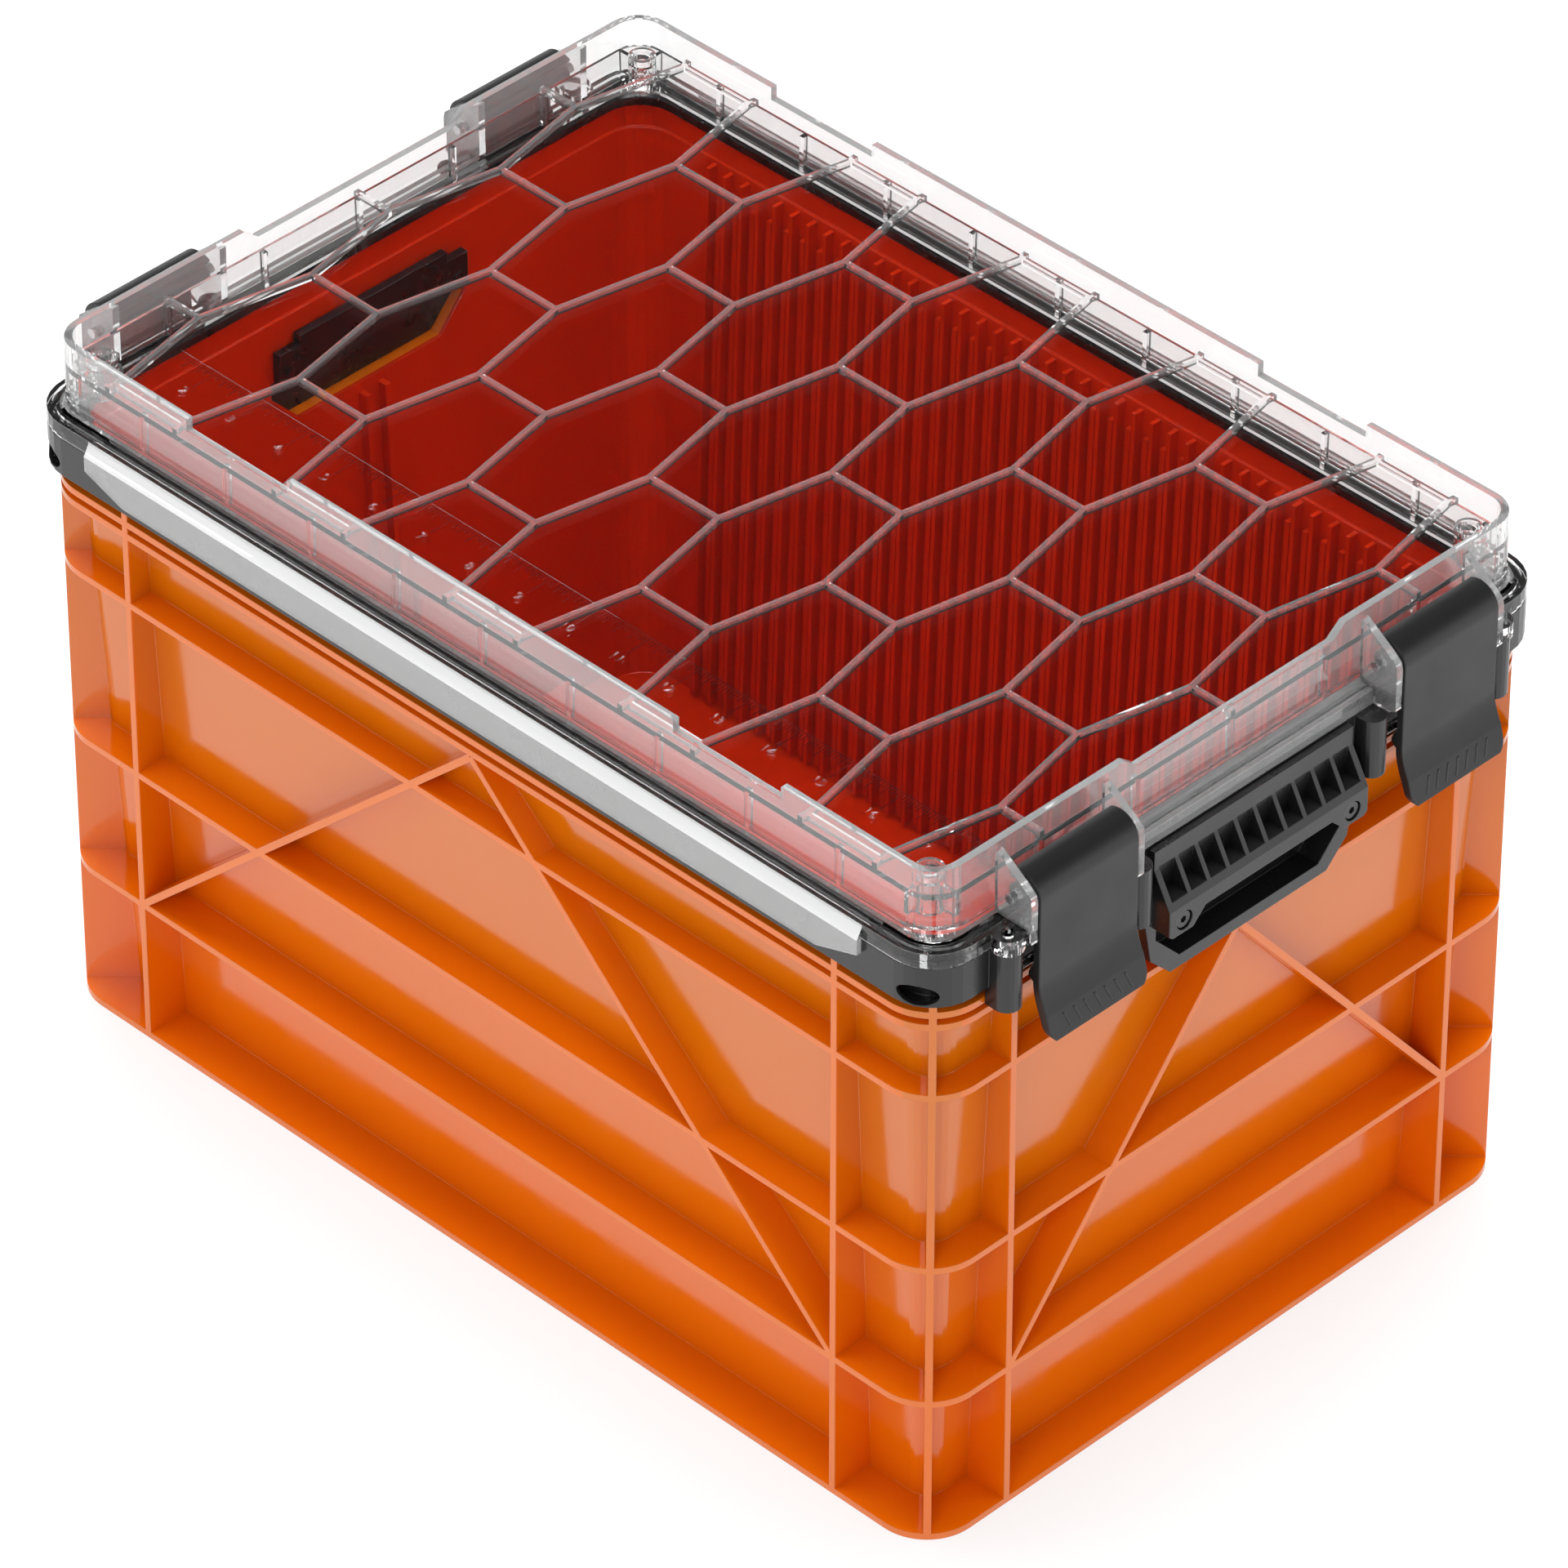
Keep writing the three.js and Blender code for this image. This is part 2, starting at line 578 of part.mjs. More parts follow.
// A grip block with louvres, the frame below it, and the cup behind the frame that the fingers go into.
function handle() {
  const { back, plate, cover, upper, front, half } = HANDLE;
  const profile = outline([
    [back, 226], [front, 226], [front, 246.7], [upper, 261.6], [upper, 269.8], [cover, 269.8],
    [cover, COLLAR.low - GAP], [back, COLLAR.low - GAP],
  ]);
  let block = prismY(profile, -half, half);
  const foot = prismX(
    outline([
      [-half - 1, 220], [-half - 1, 236.5], [-50, 234.3], [-39.5, 234.3], [-33, 240.7], [33, 240.7],
      [39.5, 234.3], [50, 234.3], [half + 1, 236.5], [half + 1, 220],
    ]),
    back - 1, front + 1,
  );
  block = block.subtract(foot);
  const frame = prismX(outline(SLOT_SURROUND), back, plate);
  const pockets = [];
  const edges = [-half + 1.6];
  for (let i = 0; i < FINS.inner; i += 1) edges.push((i - (FINS.inner - 1) / 2) * FINS.pitch);
  edges.push(half - 1.6);
  for (let i = 0; i + 1 < edges.length; i += 1) {
    const pocket = outline([[upper - 0.2, 262], [front + 1, 262], [front + 1, 249.6], [237.6, 249.6]]);
    pockets.push(prismY(pocket, edges[i] + FINS.thick / 2, edges[i + 1] - FINS.thick / 2));
  }
  const cup = prismX(fingerSlot(-CUP.skin), CUP.back, plate);
  const hollow = prismX(fingerSlot(0), CUP.back + CUP.wall, plate + 0.01);
  const holes = [-1, 1].flatMap((side) => [
    rod("x", HANDLE_SCREW.hole, back - 1, front + 1, side * HANDLE_SCREW.y, HANDLE_SCREW.z, 16),
    rod("x", HANDLE_SCREW.recess, front - 3.2, front + 1, side * HANDLE_SCREW.y, HANDLE_SCREW.z, 20),
  ]);
  return cut(frame.add(cup).subtract(hollow).add(block), [...pockets, ...holes]);
}

function handleBacking() {
  const { inner, outer } = BACKING;
  const shape = outline([
    [-49, 234.4], [-39, 234.4], [-33, 241.4], [33, 241.4], [39, 234.4], [49, 234.4],
    [49, 249], [38.5, 249], [38.5, 253.3], [-38.5, 253.3], [-38.5, 249], [-49, 249],
  ]);
  const plate = prismX(shape, inner, outer);
  const holes = [-1, 1].map((side) =>
    rod("x", HANDLE_SCREW.hole, inner - 1, outer + 1, side * HANDLE_SCREW.y, HANDLE_SCREW.z, 16));
  return cut(plate, holes);
}

function handleScrew() {
  const { y, z, shank, head } = HANDLE_SCREW;
  const top = HANDLE.front - 0.6;
  const stem = rod("x", shank, BACKING.inner - 0.8, top - 1, y, z, 16);
  const cap = rod("x", head, top - 2.3, top, y, z, 20);
  return stem.add(cap).subtract(rod("x", 1.5, top - 1.3, top + 1, y, z, 6));
}

// ---------------------------------------------------------------- scene graph

const MATERIALS = {
  orange: { color: 0xde6200, roughness: 0.32, metalness: 0 },
  black: { color: 0x1b1b1c, roughness: 0.35, metalness: 0 },
  rubber: { color: 0x0c0c0d, roughness: 0.55, metalness: 0 },
  clear: { color: 0xe9eef0, roughness: 0.05, metalness: 0, transparent: true, opacity: 0.3 },
  matte: { color: 0x2f3031, roughness: 0.6, metalness: 0 },
  steel: { color: 0x9a9da0, roughness: 0.3, metalness: 1 },
};

const group = new THREE.Group();
group.name = "fishing_tackle_box";

function addMesh(name, body, material) {
  const { numProp, numVert, vertProperties, triVerts } = body.getMesh();
  const position = new Float32Array(numVert * 3);
  for (let i = 0; i < numVert; i += 1) {
    position.set(vertProperties.subarray(i * numProp, i * numProp + 3), i * 3);
  }
  const geometry = new THREE.BufferGeometry();
  geometry.setAttribute("position", new THREE.BufferAttribute(position, 3));
  geometry.setIndex(new THREE.BufferAttribute(triVerts, 1));
  const mesh = new THREE.Mesh(geometry, new THREE.MeshStandardMaterial(MATERIALS[material]));
  mesh.name = name;
  group.add(mesh);
}

addMesh("crate_body", crateBody(), "orange");
addMesh("rim_collar", rimCollar(), "black");
addMesh("rim_gasket", rimGasket(), "rubber");
addMesh("lid", lid(), "clear");

const latchBody = latch();
const pinBody = latchPin();
const barBody = catchBar();
const handleBody = handle();
const backingBody = handleBacking();
const screwBody = handleScrew();

for (const [end, turnEnd] of [["front", (body) => body], ["rear", mirrorX]]) {
  addMesh(`${end}_handle`, turnEnd(handleBody), "black");
  addMesh(`${end}_handle_backing`, turnEnd(backingBody), "black");
  for (const [side, turnSide] of [["left", (body) => body], ["right", mirrorY]]) {
    const place = (body) => turnEnd(turnSide(body));
    addMesh(`${end}_${side}_latch`, place(latchBody), "matte");
    addMesh(`${end}_${side}_latch_pin`, place(pinBody), "steel");
    addMesh(`${end}_${side}_catch_bar`, place(barBody), "steel");
    addMesh(`${end}_${side}_handle_screw`, place(screwBody), "black");
  }
}

export default group;
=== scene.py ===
"""Fishing tackle box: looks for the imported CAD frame. +Z up, and the front end is +X.

Shapes are given in millimetres and built in metres. Materials, lights and camera are given in metres.
"""

import json
import math

import bmesh
import bpy
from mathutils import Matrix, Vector


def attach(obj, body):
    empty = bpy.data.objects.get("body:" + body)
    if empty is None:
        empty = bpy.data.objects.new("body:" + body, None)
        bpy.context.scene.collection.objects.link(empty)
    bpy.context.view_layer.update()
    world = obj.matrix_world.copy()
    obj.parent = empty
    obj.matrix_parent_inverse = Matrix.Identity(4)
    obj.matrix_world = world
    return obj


MM = 0.001
INCH = 25.4
ENDS = {"front": 1, "rear": -1}
SIDES = {"left": 1, "right": -1}

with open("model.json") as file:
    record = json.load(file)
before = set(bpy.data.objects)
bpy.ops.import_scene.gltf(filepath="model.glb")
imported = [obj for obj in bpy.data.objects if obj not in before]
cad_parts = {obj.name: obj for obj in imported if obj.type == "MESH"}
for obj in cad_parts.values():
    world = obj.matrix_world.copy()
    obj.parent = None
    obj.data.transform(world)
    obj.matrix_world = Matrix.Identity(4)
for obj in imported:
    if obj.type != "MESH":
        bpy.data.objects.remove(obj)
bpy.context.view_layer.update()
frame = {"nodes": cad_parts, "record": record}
nodes = frame["nodes"]
BODY_OF = {n: body for body, names in frame["record"]["behaviour"]["bodies"].items() for n in names}


# ---------------------------------------------------------------- shader building blocks


def new_material(name):
    material = bpy.data.materials.new(name)
    material.use_nodes = True
    tree = material.node_tree
    shader = tree.nodes["Principled BSDF"]
    return material, tree, shader


def add(tree, kind, **settings):
    node = tree.nodes.new(kind)
    for key, value in settings.items():
        setattr(node, key, value)
    return node


def noise(tree, scale, detail, roughness=0.55):
    """A noise texture on the object's own coordinates, scale in waves per metre."""
    coordinates = add(tree, "ShaderNodeTexCoord")
    texture = add(tree, "ShaderNodeTexNoise")
    texture.inputs["Scale"].default_value = scale
    texture.inputs["Detail"].default_value = detail
    texture.inputs["Roughness"].default_value = roughness
    tree.links.new(coordinates.outputs["Object"], texture.inputs["Vector"])
    return texture.outputs["Fac"]


def remap(tree, value, low, high, start=0.3, end=0.7):
    """The value, stretched so that start becomes low and end becomes high. Noise is mostly 0.3 to 0.7."""
    node = add(tree, "ShaderNodeMapRange")
    node.inputs["From Min"].default_value = start
    node.inputs["From Max"].default_value = end
    node.inputs["To Min"].default_value = low
    node.inputs["To Max"].default_value = high
    tree.links.new(value, node.inputs["Value"])
    return node.outputs["Result"]


# a mix node's sockets for colours, which share their names with its other sockets
MIX_FACTOR, MIX_FIRST, MIX_SECOND, MIX_RESULT = 0, 6, 7, 2


def blend_colours(tree, factor, first, second):
    """A mix of two colours, each given as numbers or as the output of another node."""
    node = add(tree, "ShaderNodeMix", data_type="RGBA")
    tree.links.new(factor, node.inputs[MIX_FACTOR])
    for socket, colour in ((node.inputs[MIX_FIRST], first), (node.inputs[MIX_SECOND], second)):
        if isinstance(colour, tuple):
            socket.default_value = (*colour, 1)
        else:
            tree.links.new(colour, socket)
    return node.outputs[MIX_RESULT]


def math_node(tree, operation, first, second=0):
    node = add(tree, "ShaderNodeMath", operation=operation)
    for socket, value in zip(node.inputs, (first, second)):
        if isinstance(value, (int, float)):
            socket.default_value = value
        else:
            tree.links.new(value, socket)
    return node.outputs[0]


def below(tree, value, limit):
    """1 where the value is less than the limit, which is in millimetres, and 0 elsewhere."""
    return math_node(tree, "LESS_THAN", value, limit * MM)


def above(tree, value, limit):
    """1 where the value is more than the limit, which is in millimetres, and 0 elsewhere."""
    return math_node(tree, "GREATER_THAN", value, limit * MM)


def all_of(tree, *conditions):
    result = conditions[0]
    for condition in conditions[1:]:
        result = math_node(tree, "MULTIPLY", result, condition)
    return result


def object_axes(tree):
    """The distances from the middle on X and on Y, and the height."""
    coordinates = add(tree, "ShaderNodeTexCoord")
    axes = add(tree, "ShaderNodeSeparateXYZ")
    tree.links.new(coordinates.outputs["Object"], axes.inputs["Vector"])
    across = math_node(tree, "ABSOLUTE", axes.outputs["X"])
    along = math_node(tree, "ABSOLUTE", axes.outputs["Y"])
    return across, along, axes.outputs["Z"]


def bump(tree, shader, height, strength, distance=0.0002, edge_radius=0.0):
    """Bump from a height value, on edges that look rounded by the given radius."""
    node = add(tree, "ShaderNodeBump")
    node.inputs["Strength"].default_value = strength
    node.inputs["Distance"].default_value = distance
    tree.links.new(height, node.inputs["Height"])
    if edge_radius:
        rounding = add(tree, "ShaderNodeBevel", samples=6)
        rounding.inputs["Radius"].default_value = edge_radius
        tree.links.new(rounding.outputs["Normal"], node.inputs["Normal"])
    tree.links.new(node.outputs["Normal"], shader.inputs["Normal"])


# ---------------------------------------------------------------- materials


MORE_GLOSS, LESS_GLOSS = 0.04, 0.07  # how far the roughness of moulded plastic strays


def moulded_plastic(name, light, dark, roughness, edge_radius, grain, grain_strength, specular):
    """Moulded plastic: slow colour drift, fine surface grain, uneven gloss and softened edges."""
    material, tree, shader = new_material(name)
    drift = remap(tree, noise(tree, scale=9, detail=2), 0, 1)
    tree.links.new(blend_colours(tree, drift, dark, light), shader.inputs["Base Color"])
    scuffs = noise(tree, scale=55, detail=6, roughness=0.65)
    uneven = remap(tree, scuffs, roughness - MORE_GLOSS, roughness + LESS_GLOSS)
    tree.links.new(uneven, shader.inputs["Roughness"])
    bump(tree, shader, noise(tree, scale=grain, detail=3), grain_strength, edge_radius=edge_radius)
    shader.inputs["Specular IOR Level"].default_value = specular
    return material


RIB_ORANGE = {"light": (0.83, 0.172, 0.001), "dark": (0.79, 0.158, 0.0005)}
# Painted shade: the upright faces behind the ribs are coloured by height, darker towards the rim.
PANEL_SHADE_LOW = (0.84, 0.16, 0.001)  # painted shade on the recessed upright panels, near the ground
PANEL_SHADE_HIGH = (0.7, 0.166, 0.001)  # and near the rim, where it is darker
PANEL_SHADE_FADE = (0.03, 0.2)  # the heights, in metres, between which one becomes the other
# Painted shade: the crate's inner faces are coloured deeper and redder, as light bouncing about inside makes
# them.
INSIDE_SHADE_RED = (0.63, 0.024, 0.0002)

WALL_LEAN = 0.041  # outwards, for each unit of height
INNER_REACH = (213.6, 137.4)  # on X and on Y, half way through the crate's walls at floor level
INNER_CORNER_SUM = 342  # X plus Y, half way through the wall in its rounded corners at floor level
FLOOR_MIDDLE = 5  # a height inside the crate's floor
RIB_FACE = (233.1, 156.9)  # on X and on Y, just behind the outer faces of the crate's ribs


def inside_crate(tree, across, along, height):
    """Where the inner faces' painted shade goes: 1 on the crate's inner faces and 0 on its outer ones."""
    lean = math_node(tree, "MULTIPLY", height, WALL_LEAN)
    corner_lean = math_node(tree, "MULTIPLY", lean, 2)
    corner_sum = math_node(tree, "SUBTRACT", math_node(tree, "ADD", across, along), corner_lean)
    return all_of(
        tree,
        below(tree, math_node(tree, "SUBTRACT", across, lean), INNER_REACH[0]),
        below(tree, math_node(tree, "SUBTRACT", along, lean), INNER_REACH[1]),
        below(tree, corner_sum, INNER_CORNER_SUM),
        above(tree, height, FLOOR_MIDDLE),
    )


def recessed_panel(tree, across, along):
    """Where the panels' painted shade goes: 1 on upright faces that lie behind the ribs' outer faces, and 0
    elsewhere.
    """
    facing = add(tree, "ShaderNodeNewGeometry")
    axes = add(tree, "ShaderNodeSeparateXYZ")
    tree.links.new(facing.outputs["Normal"], axes.inputs["Vector"])
    upright = math_node(tree, "LESS_THAN", math_node(tree, "ABSOLUTE", axes.outputs["Z"]), 0.5)
    return all_of(tree, upright, below(tree, across, RIB_FACE[0]), below(tree, along, RIB_FACE[1]))


def orange_plastic():
    """The crate's plastic, with painted shade. Upright panels behind the ribs are coloured darker towards
    the rim, and the inner faces deeper and redder, as light that bounces about inside the crate makes them.
    """
    material = moulded_plastic(
        "orange_plastic", **RIB_ORANGE,
        roughness=0.12, edge_radius=0.0006, grain=420, grain_strength=0.03, specular=0.78,
    )
    tree = material.node_tree
    shader = tree.nodes["Principled BSDF"]
    across, along, height = object_axes(tree)
    rib_colour = shader.inputs["Base Color"].links[0].from_socket
    # painted shade on the upright recessed panels, darker towards the rim
    fade = remap(tree, height, 0, 1, *PANEL_SHADE_FADE)
    panel_shade_colour = blend_colours(tree, fade, PANEL_SHADE_LOW, PANEL_SHADE_HIGH)
    outside_colour = blend_colours(tree, recessed_panel(tree, across, along), rib_colour, panel_shade_colour)
    # painted shade: the inner faces deeper and redder
    inside = inside_crate(tree, across, along, height)
    tree.links.new(blend_colours(tree, inside, outside_colour, INSIDE_SHADE_RED), shader.inputs["Base Color"])
    return material


# Painted light: how far the clear lid turns white-grey in each zone, standing in for light carried along its
# thick plastic and for edge highlights.
PAINTED_LIGHT_HAZE = {"ribs": 0.07, "walls": 0.14, "skirts": 0.2, "shoulders": 0.62, "end_flanges": 0.11}
LID_INSIDE = (225.7, 149.4)  # on X and on Y, the reach of the lid's plate
HONEYCOMB_LOW = 296.75
WALL_LOW = 278.2
SKIRT = {"reach": 159.6, "top": 271.3}
SHOULDER = {"reach": 159.3, "half_length": 201, "low": 271.3, "high": 277}
END_FLANGE = {"reach": 226.5, "half_width": 68, "top": 278.2}


def lid_haze(tree):
    """Painted light: how much of the light the clear plastic scatters white, standing in for light carried
    along its thick parts and for edge highlights. None in the plate, most on the skirts' shoulders.
    """
    across, along, height = object_axes(tree)
    inside = all_of(tree, below(tree, across, LID_INSIDE[0]), below(tree, along, LID_INSIDE[1]))
    zones = {
        "ribs": (inside, above(tree, height, HONEYCOMB_LOW)),
        "walls": (math_node(tree, "SUBTRACT", 1, inside), above(tree, height, WALL_LOW)),
        "skirts": (above(tree, along, SKIRT["reach"]), below(tree, height, SKIRT["top"])),
        "shoulders": (
            above(tree, along, SHOULDER["reach"]), below(tree, across, SHOULDER["half_length"]),
            above(tree, height, SHOULDER["low"]), below(tree, height, SHOULDER["high"]),
        ),
        "end_flanges": (
            above(tree, across, END_FLANGE["reach"]), below(tree, along, END_FLANGE["half_width"]),
            below(tree, height, END_FLANGE["top"]),
        ),
    }
    total = 0
    for zone, conditions in zones.items():
        part = math_node(tree, "MULTIPLY", all_of(tree, *conditions), PAINTED_LIGHT_HAZE[zone])
        total = math_node(tree, "ADD", total, part)
    return total


CLEAR_TINT = (0.993, 0.997, 0.997)
POLYCARBONATE_IOR = 1.59
CLEAR_ROUGHEST = 0.012


def clear_plastic(name, painted_haze):
    """Clear plastic with slow ripples, with a painted-light white haze in the lid's own zones where that is
    asked for.
    """
    material, tree, shader = new_material(name)
    shader.inputs["Base Color"].default_value = (*CLEAR_TINT, 1)
    shader.inputs["IOR"].default_value = POLYCARBONATE_IOR
    shader.inputs["Transmission Weight"].default_value = 1.0
    # painted light: a white haze in the lid's zones
    if painted_haze:
        tree.links.new(math_node(tree, "SUBTRACT", 1, lid_haze(tree)), shader.inputs["Transmission Weight"])
    smears = noise(tree, scale=38, detail=5, roughness=0.6)
    tree.links.new(remap(tree, smears, 0.0, CLEAR_ROUGHEST), shader.inputs["Roughness"])
    bump(tree, shader, noise(tree, scale=18, detail=2), 0.012, distance=0.0003)
    return material


RUBBER_LOOK = {"dark": (0.006, 0.006, 0.007), "light": (0.013, 0.013, 0.014), "roughness": (0.2, 0.36)}
STEEL_LOOK = {"dark": (0.42, 0.42, 0.43), "light": (0.6, 0.6, 0.61), "roughness": (0.18, 0.34)}


def rubber():
    material, tree, shader = new_material("gasket_rubber")
    drift = remap(tree, noise(tree, scale=30, detail=3), 0, 1)
    colour = blend_colours(tree, drift, RUBBER_LOOK["dark"], RUBBER_LOOK["light"])
    tree.links.new(colour, shader.inputs["Base Color"])
    scuffs = noise(tree, scale=90, detail=5)
    tree.links.new(remap(tree, scuffs, *RUBBER_LOOK["roughness"]), shader.inputs["Roughness"])
    bump(tree, shader, noise(tree, scale=900, detail=3), 0.1, edge_radius=0.001)
    return material


def steel():
    material, tree, shader = new_material("steel")
    drift = remap(tree, noise(tree, scale=120, detail=4), 0, 1)
    colour = blend_colours(tree, drift, STEEL_LOOK["dark"], STEEL_LOOK["light"])
    tree.links.new(colour, shader.inputs["Base Color"])
    shader.inputs["Metallic"].default_value = 1.0
    scuffs = noise(tree, scale=300, detail=4)
    tree.links.new(remap(tree, scuffs, *STEEL_LOOK["roughness"]), shader.inputs["Roughness"])
    bump(tree, shader, noise(tree, scale=800, detail=3), 0.06, edge_radius=0.0004)
    return material


ORANGE = orange_plastic()
CLEAR = clear_plastic("clear_plastic", painted_haze=True)
MARK_CLEAR = clear_plastic("clear_marks", painted_haze=False)
BLACK = moulded_plastic(
    "black_plastic", light=(0.012, 0.012, 0.0125), dark=(0.008, 0.008, 0.0085),
    roughness=0.28, edge_radius=0.0006, grain=1500, grain_strength=0.12, specular=0.6,
)
LATCH_BLACK = moulded_plastic(
    "latch_plastic", light=(0.011, 0.011, 0.0115), dark=(0.008, 0.008, 0.0084),
    roughness=0.42, edge_radius=0.0009, grain=2600, grain_strength=0.3, specular=0.52,
)
SCREW_BLACK = moulded_plastic(
    "screw_black", light=(0.02, 0.02, 0.021), dark=(0.012, 0.012, 0.013),
    roughness=0.24, edge_radius=0.0003, grain=1200, grain_strength=0.1, specular=0.6,
)
RUBBER = rubber()
STEEL = steel()


def material_of(node_name):
    if node_name == "crate_body":
        return ORANGE
    if node_name == "lid":
        return CLEAR
    if node_name == "rim_gasket":
        return RUBBER
    if node_name.endswith(("latch_pin", "catch_bar")):
        return STEEL
    if node_name.endswith("handle_screw"):
        return SCREW_BLACK
    if node_name.endswith("latch"):
        return LATCH_BLACK
    return BLACK


for node_name, node in nodes.items():
    node.data.materials.clear()
    node.data.materials.append(material_of(node_name))


# ---------------------------------------------------------------- mesh building blocks


def mesh_piece(name, work, material, body):
    """A new visible piece from a bmesh, riding on a body."""
    mesh = bpy.data.meshes.new(name)
    bmesh.ops.recalc_face_normals(work, faces=work.faces)
    work.to_mesh(mesh)
    work.free()
    piece = bpy.data.objects.new(name, mesh)
    bpy.context.scene.collection.objects.link(piece)
    mesh.materials.append(material)
    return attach(piece, body)


def skin(work, rings):
    """Faces between one ring of vertices and the next, closed at both ends."""
    count = len(rings[0])
    for near, far in zip(rings, rings[1:]):
        for i in range(count):
            j = (i + 1) % count
            work.faces.new((near[i], near[j], far[j], far[i]))
    work.faces.new(rings[0][::-1])
    work.faces.new(rings[-1])


def ridge(work, x0, x1, y0, y1, low, high, slope):
    """A low bar with leaning sides, such as a moulded mark."""
    rings = []
    for inset, z in ((0, low), (slope, high)):
        near_x, far_x, near_y, far_y = x0 + inset, x1 - inset, y0 + inset, y1 - inset
        corners = ((near_x, near_y), (far_x, near_y), (far_x, far_y), (near_x, far_y))
        rings.append([work.verts.new(Vector((x, y, z)) * MM) for x, y in corners])
    skin(work, rings)


# ---------------------------------------------------------------- ruler on the lid

PLATE_TOP = 296.62
# zero is the X of the ruler's start, and line is the Y of the line that its ticks hang from
RULER = {"zero": -229.4, "line": -114.2, "high": 0.16, "half_tick": 0.16, "slope": 0.12, "gap": 0.7}
RULER_LINE = {"from": 1.2, "to": 17.8, "below": 0.25, "above": 0.2}  # its ends are in inches
TICKS = range(1 * 16 + 4, 17 * 16 + 13)  # in sixteenths of an inch
TICK_LENGTHS = {16: 12.3, 8: 7.0, 4: 5.2, 2: 3.8, 1: 2.7}  # by the largest of these that divides the place
NUMERALS = {"first": 2, "last": 17, "y": -130.9, "back": 1, "size": 6.2, "extrude": 0.09, "raise": 0.1}
WELD = 0.00001  # metres


def ruler_ticks():
    work = bmesh.new()
    top = PLATE_TOP + RULER["high"]
    end = RULER["line"] - RULER["gap"]
    for sixteenth in TICKS:
        step = next(s for s in TICK_LENGTHS if sixteenth % s == 0)
        x = RULER["zero"] + INCH * sixteenth / 16
        ridge(
            work, x - RULER["half_tick"], x + RULER["half_tick"], end - TICK_LENGTHS[step], end,
            PLATE_TOP, top, RULER["slope"],
        )
    ridge(
        work, RULER["zero"] + RULER_LINE["from"] * INCH, RULER["zero"] + RULER_LINE["to"] * INCH,
        RULER["line"] - RULER_LINE["below"], RULER["line"] + RULER_LINE["above"],
        PLATE_TOP, top, RULER["slope"],
    )
    mesh_piece("lid_ruler_ticks", work, MARK_CLEAR, "lid")


def ruler_numerals():
    work = bmesh.new()
    for number in range(NUMERALS["first"], NUMERALS["last"] + 1):
        curve = bpy.data.curves.new("numeral", "FONT")
        curve.body = str(number)
        curve.size = NUMERALS["size"] * MM
        curve.extrude = NUMERALS["extrude"] * MM
        curve.resolution_u = 3
        curve.align_x = "CENTER"
        curve.align_y = "CENTER"
        text = bpy.data.objects.new("numeral", curve)
        bpy.context.scene.collection.objects.link(text)
        x = RULER["zero"] + INCH * number - NUMERALS["back"]
        text.location = Vector((x, NUMERALS["y"], PLATE_TOP + NUMERALS["raise"])) * MM
        bpy.context.view_layer.update()
        evaluated = text.evaluated_get(bpy.context.evaluated_depsgraph_get())
        mesh = bpy.data.meshes.new_from_object(evaluated)
        mesh.transform(text.matrix_world)
        work.from_mesh(mesh)
        bpy.data.objects.remove(text)
    bmesh.ops.remove_doubles(work, verts=work.verts, dist=WELD)
    mesh_piece("lid_ruler_numerals", work, MARK_CLEAR, "lid")


ruler_ticks()
ruler_numerals()


# ---------------------------------------------------------------- grip lines on the latches

LATCH_MIDDLE = 94
LIP = {"low": 232.4, "high": 238.8, "x_low": 253.72, "x_high": 252.05}  # the lip's flared outer face
GRIP = {"each_way": 3, "pitch": 5.2, "lean": 1.2, "half_foot": 0.6, "half_top": 0.42}
GRIP_SUNK, GRIP_PROUD = -0.4, 0.14  # how far a line's foot and its top stand out from the lip


def grip_lines(end, side):
    """Seven leaning grip lines in a row on a latch's flared lip."""
    work = bmesh.new()
    for i in range(-GRIP["each_way"], GRIP["each_way"] + 1):
        y = LATCH_MIDDLE + i * GRIP["pitch"]
        rings = []
        for half, out in ((GRIP["half_foot"], GRIP_SUNK), (GRIP["half_top"], GRIP_PROUD)):
            x_low, x_high = LIP["x_low"] + out, LIP["x_high"] + out
            y_low, y_high = y - GRIP["lean"], y + GRIP["lean"]
            corners = (
                (x_low, y_low - half, LIP["low"]), (x_low, y_low + half, LIP["low"]),
                (x_high, y_high + half, LIP["high"]), (x_high, y_high - half, LIP["high"]),
            )
            rings.append([work.verts.new(Vector((end * x, side * yy, z)) * MM) for x, yy, z in corners])
        skin(work, rings)
    return work


for end_name, end in ENDS.items():
    for side_name, side in SIDES.items():
        latch_name = f"{end_name}_{side_name}_latch"
        mesh_piece(f"{latch_name}_grip", grip_lines(end, side), RUBBER, BODY_OF[latch_name])


# ---------------------------------------------------------------- painted shade: dark backs of the collar's corner holes

RIM_CORNER = 19.5
RIM_REACH = (236.2, 160)  # half the rim collar's length and width
HOLE_SHADE_BACK = {"start": 22, "end": 103, "steps": 12}  # degrees round the corner's centre
# the section of the web and of the shelf below it: distance from the corner's centre, and height
HOLE_SHADE_BACK_SECTION = ((17.4, 253.5), (13, 253.5), (13, 263), (13.6, 263), (13.6, 254), (17.4, 254))


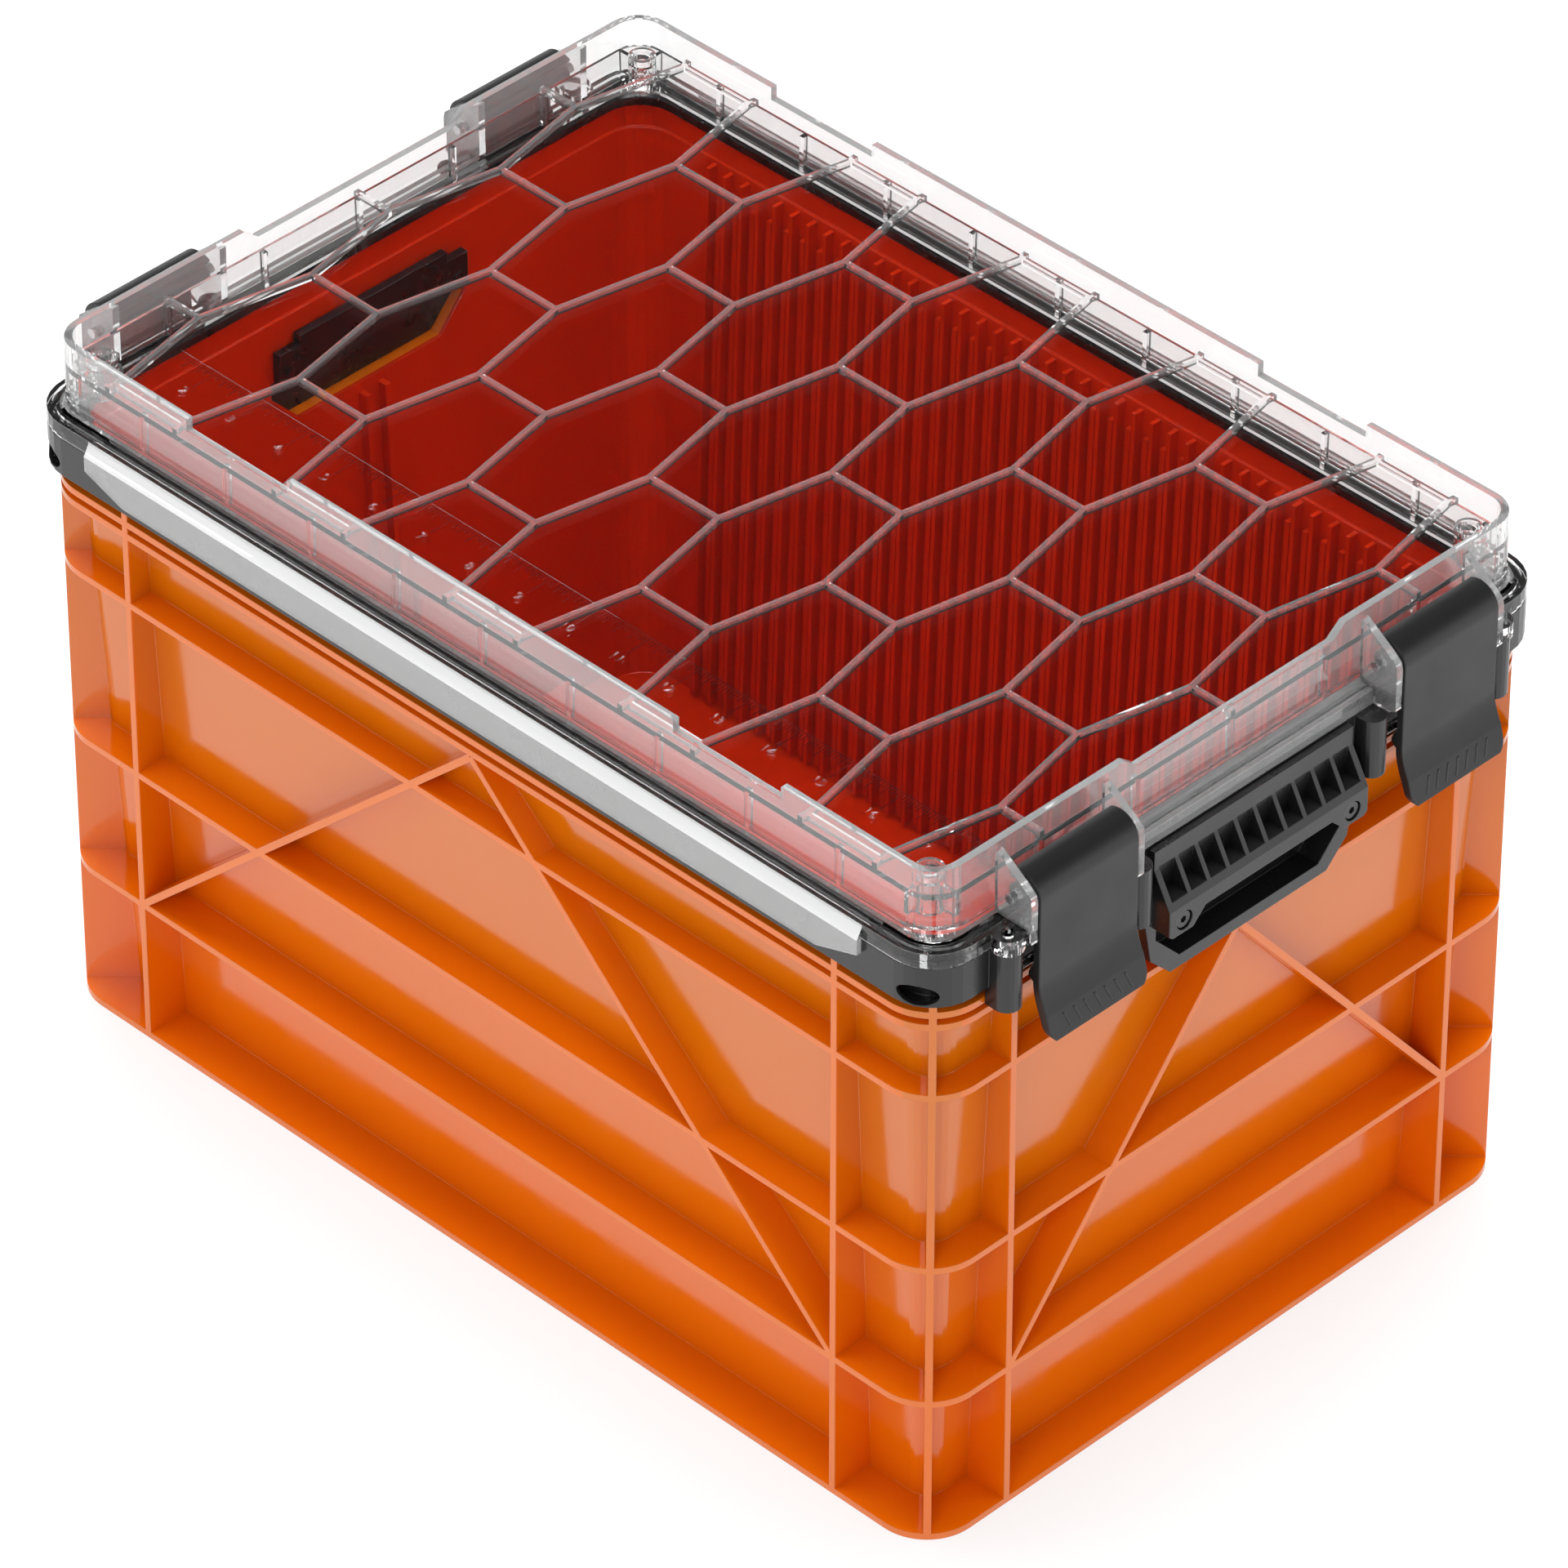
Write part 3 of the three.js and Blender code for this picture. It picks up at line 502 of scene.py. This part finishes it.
def hole_back(end, side):
    """A curved black web and shelf under the collar, behind its corner hole, put there as painted shade."""
    work = bmesh.new()
    centre_x, centre_y = (reach - RIM_CORNER for reach in RIM_REACH)
    sweep = HOLE_SHADE_BACK["end"] - HOLE_SHADE_BACK["start"]
    rings = []
    for i in range(HOLE_SHADE_BACK["steps"] + 1):
        turn = math.radians(HOLE_SHADE_BACK["start"] + sweep * i / HOLE_SHADE_BACK["steps"])
        ring = []
        for radius, z in HOLE_SHADE_BACK_SECTION:
            x = centre_x + radius * math.cos(turn)
            y = centre_y + radius * math.sin(turn)
            ring.append(work.verts.new(Vector((end * x, side * y, z)) * MM))
        rings.append(ring)
    skin(work, rings)
    return work


# painted shade: black pockets behind the collar's corner holes
for end_name, end in ENDS.items():
    for side_name, side in SIDES.items():
        name = f"{end_name}_{side_name}_hole_back"
        mesh_piece(name, hole_back(end, side), RUBBER, BODY_OF["rim_collar"])


# ---------------------------------------------------------------- shading of the carried nodes

SMOOTH_ANGLE = 24  # degrees


def smooth_by_angle(piece, degrees):
    """Smooth shading, with the edges sharper than the angle kept sharp."""
    mesh = piece.data
    mesh.polygons.foreach_set("use_smooth", [True] * len(mesh.polygons))
    work = bmesh.new()
    work.from_mesh(mesh)
    limit = math.radians(degrees)
    sharp = [len(e.link_faces) != 2 or e.calc_face_angle(0) > limit for e in work.edges]
    work.free()
    attribute = mesh.attributes.get("sharp_edge") or mesh.attributes.new("sharp_edge", "BOOLEAN", "EDGE")
    attribute.data.foreach_set("value", sharp)


for node in nodes.values():
    smooth_by_angle(node, SMOOTH_ANGLE)


# ---------------------------------------------------------------- stage, light and camera

FLOOR_SIZE = 40
FLOOR_HEIGHT = -0.0003
FLOOR_GREY = 0.26
FLOOR_GLOW = 0.74  # grey and glow together make the floor white, with a faint shadow


def floor_material():
    material, _, shader = new_material("floor_white")
    shader.inputs["Base Color"].default_value = (FLOOR_GREY, FLOOR_GREY, FLOOR_GREY, 1)
    shader.inputs["Roughness"].default_value = 0.9
    shader.inputs["Specular IOR Level"].default_value = 0.1
    shader.inputs["Emission Color"].default_value = (1, 1, 1, 1)
    shader.inputs["Emission Strength"].default_value = FLOOR_GLOW
    return material


def stage_plane(name, size, height, material):
    work = bmesh.new()
    bmesh.ops.create_grid(work, x_segments=2, y_segments=2, size=size / 2)
    mesh = bpy.data.meshes.new(name)
    work.to_mesh(mesh)
    work.free()
    mesh.materials.append(material)
    plane = bpy.data.objects.new(name, mesh)
    plane.location = (0, 0, height)
    bpy.context.scene.collection.objects.link(plane)


stage_plane("floor", FLOOR_SIZE, FLOOR_HEIGHT, floor_material())

# each softbox's place, the height on the Z axis that it points at, its two sides, and its watts
SOFTBOXES = {
    "softbox_top": ((-0.3, 0.3, 2.6), 0.2, (1.8, 1.8), 115),
    "softbox_key": ((1.5, -2.6, 2.2), 0.15, (0.9, 0.7), 18),
    "softbox_left": ((-2.2, -2.0, 1.2), 0.15, (1.2, 0.6), 5),
    "softbox_right": ((2.9, 0.9, 1.2), 0.15, (0.6, 1.2), 5),
}


def area_light(name, location, target, size, power):
    data = bpy.data.lights.new(name, "AREA")
    data.shape = "RECTANGLE"
    data.size, data.size_y = size
    data.energy = power
    light = bpy.data.objects.new(name, data)
    light.location = location
    light.rotation_mode = "QUATERNION"
    light.rotation_quaternion = (Vector(location) - Vector(target)).to_track_quat("Z", "Y")
    bpy.context.scene.collection.objects.link(light)
    return light


for name, (location, target_height, size, watts) in SOFTBOXES.items():
    softbox = area_light(name, location, (0, 0, target_height), size, watts)
    softbox.visible_glossy = name != "softbox_top"  # so that the lid doesn't mirror the big one

WORLD_EVEN = 0.5
WORLD_THROUGH_CLEAR = 1.15  # brighter, for light that came through the lid
WORLD_BEHIND_STAGE = 0.5  # added where the camera looks past the floor
GLOSS_HORIZON = 1.5
GLOSS_OVERHEAD = 0.02
GLOSS_FADE = (0.12, 0.34)  # the ray's Z, 0 level and 1 straight up, between which it turns dark


def studio_world():
    """An even white studio. Gloss sees it bright at the horizon and dark above, as between softboxes."""
    world = bpy.data.worlds.new("studio")
    world.use_nodes = True
    tree = world.node_tree
    path = add(tree, "ShaderNodeLightPath")
    even = tree.nodes["Background"]
    even.inputs["Color"].default_value = (1, 1, 1, 1)
    strength = remap(tree, path.outputs["Is Transmission Ray"], WORLD_EVEN, WORLD_THROUGH_CLEAR, 0, 1)
    behind_stage = math_node(tree, "MULTIPLY", path.outputs["Is Camera Ray"], WORLD_BEHIND_STAGE)
    tree.links.new(math_node(tree, "ADD", strength, behind_stage), even.inputs["Strength"])
    direction = add(tree, "ShaderNodeTexCoord")
    axes = add(tree, "ShaderNodeSeparateXYZ")
    tree.links.new(direction.outputs["Generated"], axes.inputs["Vector"])
    gloss = add(tree, "ShaderNodeBackground")
    gloss.inputs["Color"].default_value = (1, 1, 1, 1)
    gradient = remap(tree, axes.outputs["Z"], GLOSS_HORIZON, GLOSS_OVERHEAD, *GLOSS_FADE)
    tree.links.new(gradient, gloss.inputs["Strength"])
    scattered = math_node(tree, "GREATER_THAN", path.outputs["Diffuse Depth"], 0.5)
    sees_even = math_node(tree, "MAXIMUM", scattered, path.outputs["Is Camera Ray"])
    mix = add(tree, "ShaderNodeMixShader")
    tree.links.new(math_node(tree, "SUBTRACT", 1, sees_even), mix.inputs[0])
    tree.links.new(even.outputs[0], mix.inputs[1])
    tree.links.new(gloss.outputs[0], mix.inputs[2])
    tree.links.new(mix.outputs[0], tree.nodes["World Output"].inputs["Surface"])
    return world


bpy.context.scene.world = studio_world()
bpy.context.scene.view_settings.view_transform = "Standard"

CAMERA_PLACE = (2.2313, -2.2298, 2.6193)
CAMERA_BACK = Vector((0.5557, -0.5560, 0.6181))  # from what the camera looks at towards the camera

camera_data = bpy.data.cameras.new("camera")
camera_data.sensor_width = 36
camera_data.lens = 245.4
camera_data.clip_start = 0.1
camera_data.clip_end = 100
camera = bpy.data.objects.new("camera", camera_data)
camera.location = CAMERA_PLACE
camera.rotation_mode = "QUATERNION"
camera.rotation_quaternion = CAMERA_BACK.to_track_quat("Z", "Y")
bpy.context.scene.collection.objects.link(camera)
bpy.context.scene.camera = camera
